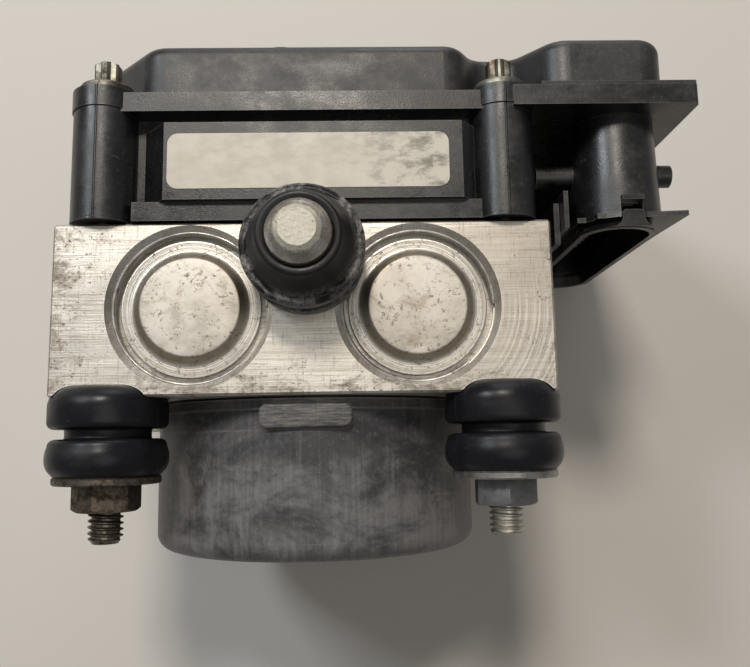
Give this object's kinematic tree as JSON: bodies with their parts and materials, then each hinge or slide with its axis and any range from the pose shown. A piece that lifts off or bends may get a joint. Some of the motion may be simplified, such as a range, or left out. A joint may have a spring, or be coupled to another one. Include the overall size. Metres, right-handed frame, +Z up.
{
  "type": "abs brake module",
  "caption": "Anti-lock brake module: a drilled aluminium valve block with a round pump motor on one side and a black control unit with a side connector on the other.",
  "frame": {"origin": "centre of the valve block's wheel-pipe face, on which the module rests", "axes": "+X along the block towards the connector, +Y from the motor towards the control unit, +Z up through the block towards the accumulator covers and the support pin"},
  "size_m": [0.1116, 0.0941, 0.089],
  "materials": {
    "block": "milled, pitted",
    "turned_aluminium": "turned, satin",
    "motor_coating": "worn grey coating",
    "black_housing": "fine grain",
    "black_cover": "fine grain",
    "isolator_rubber": "satin",
    "dark_steel": "dull plated",
    "bright_steel": "plated",
    "ground_steel": "ground",
    "spring_steel": "drawn",
    "bronze": "sintered",
    "laminations": "varnished",
    "winding_wire": "enamelled copper wire",
    "copper": "turned copper",
    "ferrite": "pressed ferrite",
    "phenolic": "moulded",
    "carbon": "pressed carbon",
    "seal_rubber": "moulded",
    "board": "coated laminate",
    "chips": "moulded",
    "contacts": "tinned",
    "label": "blank film",
    "vent": "moulded"
  },
  "bodies": {
    "module": {"valve_block": "block", "accumulator_cover_left": "turned_aluminium", "accumulator_cover_right": "turned_aluminium", "accumulator_spring_left": "spring_steel", "accumulator_spring_right": "spring_steel", "snap_rings": "dark_steel", "pump_sleeves": "ground_steel", "pump_spring_left": "spring_steel", "pump_spring_right": "spring_steel", "pump_plugs": "turned_aluminium", "nose_bushing": "bronze", "front_bushing": "bronze", "rear_bushing": "bronze", "motor_can": "motor_coating", "motor_gasket": "seal_rubber", "motor_magnets": "ferrite", "brush_plate": "phenolic", "carbon_brushes": "carbon", "motor_terminal": "phenolic", "motor_screws": "bright_steel", "isolator_left": "isolator_rubber", "isolator_right": "isolator_rubber", "isolator_washers": "dark_steel", "isolator_nuts": "dark_steel", "isolator_studs": "bright_steel", "support_pin": "bright_steel", "support_grommet": "isolator_rubber", "inlet_valves": "ground_steel", "outlet_valves": "ground_steel", "inlet_coils": "black_cover", "outlet_coils": "black_cover", "control_unit_housing": "black_housing", "block_gasket": "seal_rubber", "control_unit_cover": "black_cover", "vent_cap": "vent", "circuit_board": "board", "board_components": "chips", "connector_pins": "contacts", "control_unit_screws": "bright_steel", "blank_label": "label"},
    "rotor": {"rotor_shaft": "ground_steel", "rotor_core": "laminations", "rotor_windings": "winding_wire", "commutator": "copper"},
    "ring": {"eccentric_ring": "ground_steel"},
    "accumulator_left": {"accumulator_piston_left": "turned_aluminium", "accumulator_seal_left": "seal_rubber"},
    "accumulator_right": {"accumulator_piston_right": "turned_aluminium", "accumulator_seal_right": "seal_rubber"},
    "pump_left": {"pump_piston_left": "ground_steel"},
    "pump_right": {"pump_piston_right": "ground_steel"},
    "inlet_valve_1": {"inlet_armature_1": "ground_steel"},
    "inlet_valve_2": {"inlet_armature_2": "ground_steel"},
    "inlet_valve_3": {"inlet_armature_3": "ground_steel"},
    "inlet_valve_4": {"inlet_armature_4": "ground_steel"},
    "outlet_valve_1": {"outlet_armature_1": "ground_steel"},
    "outlet_valve_2": {"outlet_armature_2": "ground_steel"},
    "outlet_valve_3": {"outlet_armature_3": "ground_steel"},
    "outlet_valve_4": {"outlet_armature_4": "ground_steel"}
  },
  "joints": [
    {"name": "rotor_spin", "type": "hinge", "parent": "module", "child": "rotor", "pos_m": [0, -0.0055, 0.035], "axis": [0, 1, 0], "continuous": true},
    {"name": "ring_spin", "type": "hinge", "parent": "rotor", "child": "ring", "pos_m": [0, -0.0055, 0.0356], "axis": [0, 1, 0], "continuous": true},
    {"name": "accumulator_slide_left", "type": "slide", "parent": "module", "child": "accumulator_left", "axis": [0, 0, 1], "range_m": [0, 0.007], "stiffness_N_per_m": 4000, "springref_m": -0.004, "deforming": ["accumulator_spring_left"]},
    {"name": "accumulator_slide_right", "type": "slide", "parent": "module", "child": "accumulator_right", "axis": [0, 0, 1], "range_m": [0, 0.007], "stiffness_N_per_m": 4000, "springref_m": -0.004, "deforming": ["accumulator_spring_right"]},
    {"name": "pump_slide_left", "type": "slide", "parent": "module", "child": "pump_left", "axis": [-1, 0, 0], "range_m": [0, 0.0012], "stiffness_N_per_m": 2000, "springref_m": -0.002, "deforming": ["pump_spring_left"]},
    {"name": "pump_slide_right", "type": "slide", "parent": "module", "child": "pump_right", "axis": [1, 0, 0], "range_m": [0, 0.0012], "stiffness_N_per_m": 2000, "springref_m": -0.002, "deforming": ["pump_spring_right"]},
    {"name": "inlet_valve_stroke_1", "type": "slide", "parent": "module", "child": "inlet_valve_1", "axis": [0, -1, 0], "range_m": [0, 0.0003], "stiffness_N_per_m": 400, "springref_m": -0.001},
    {"name": "inlet_valve_stroke_2", "type": "slide", "parent": "module", "child": "inlet_valve_2", "axis": [0, -1, 0], "range_m": [0, 0.0003], "stiffness_N_per_m": 400, "springref_m": -0.001},
    {"name": "inlet_valve_stroke_3", "type": "slide", "parent": "module", "child": "inlet_valve_3", "axis": [0, -1, 0], "range_m": [0, 0.0003], "stiffness_N_per_m": 400, "springref_m": -0.001},
    {"name": "inlet_valve_stroke_4", "type": "slide", "parent": "module", "child": "inlet_valve_4", "axis": [0, -1, 0], "range_m": [0, 0.0003], "stiffness_N_per_m": 400, "springref_m": -0.001},
    {"name": "outlet_valve_stroke_1", "type": "slide", "parent": "module", "child": "outlet_valve_1", "axis": [0, 1, 0], "range_m": [0, 0.0003], "stiffness_N_per_m": 400, "springref_m": -0.001},
    {"name": "outlet_valve_stroke_2", "type": "slide", "parent": "module", "child": "outlet_valve_2", "axis": [0, 1, 0], "range_m": [0, 0.0003], "stiffness_N_per_m": 400, "springref_m": -0.001},
    {"name": "outlet_valve_stroke_3", "type": "slide", "parent": "module", "child": "outlet_valve_3", "axis": [0, 1, 0], "range_m": [0, 0.0003], "stiffness_N_per_m": 400, "springref_m": -0.001},
    {"name": "outlet_valve_stroke_4", "type": "slide", "parent": "module", "child": "outlet_valve_4", "axis": [0, 1, 0], "range_m": [0, 0.0003], "stiffness_N_per_m": 400, "springref_m": -0.001}
  ],
  "couplings": [
    {"joint": "ring_spin", "follows": "rotor_spin", "ratio": -1}
  ]
}
